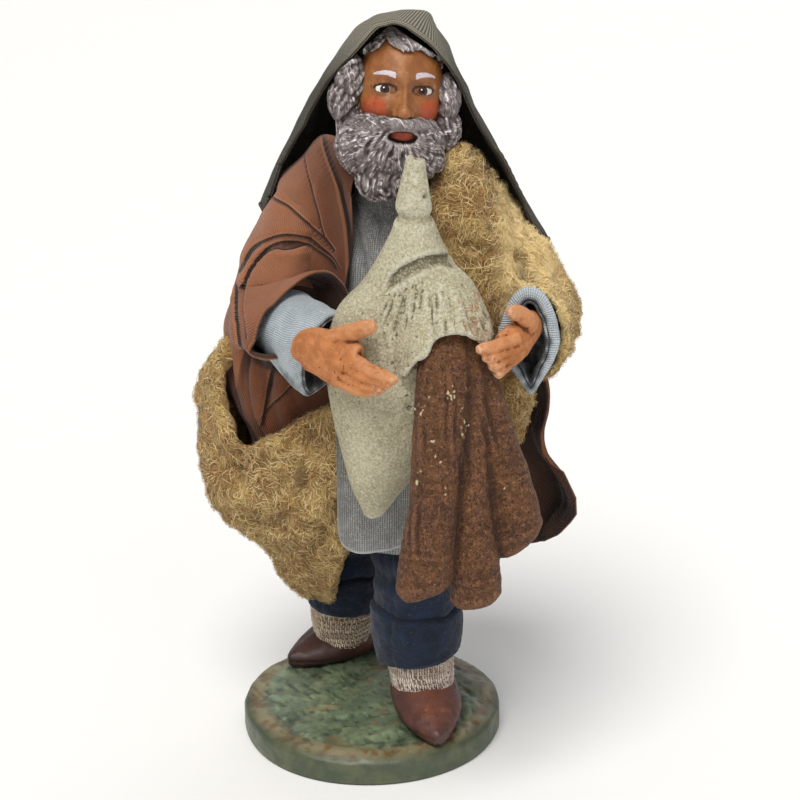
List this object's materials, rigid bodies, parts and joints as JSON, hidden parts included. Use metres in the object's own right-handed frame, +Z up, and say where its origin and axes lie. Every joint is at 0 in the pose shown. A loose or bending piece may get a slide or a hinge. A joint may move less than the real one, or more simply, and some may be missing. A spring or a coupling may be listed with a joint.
{
  "type": "presepe figure",
  "caption": "Standing nativity-scene bagpiper with painted terracotta head, hands, feet and bagpipe, dressed in cloth and fleece under a hood, on a round painted base.",
  "frame": {"origin": "centre of the underside of the round base", "axes": "+Z up; the figure faces -Y, and +X is its own left-hand side"},
  "size_m": [0.1067, 0.0977, 0.2007],
  "materials": {
    "base_clay": "satin",
    "shoe_clay": "satin",
    "sock_knit": "matte",
    "trouser_wool": "matte",
    "shirt_cloth": "matte",
    "skin_clay": "matte",
    "bag_clay": "matte",
    "pipe_clay": "matte",
    "coat_cloth": "matte",
    "fleece_wool": "matte",
    "hood_cloth": "matte"
  },
  "bodies": {
    "root": {"base": "base_clay", "shoe_left": "shoe_clay", "shoe_right": "shoe_clay", "sock_left": "sock_knit", "sock_right": "sock_knit", "trousers": "trouser_wool", "shirt": "shirt_cloth", "hand_right": "skin_clay", "hand_left": "skin_clay", "bag": "bag_clay", "pipes": "pipe_clay", "head": "skin_clay", "coat": "coat_cloth", "fleece": "fleece_wool", "hood": "hood_cloth"}
  },
  "joints": []
}
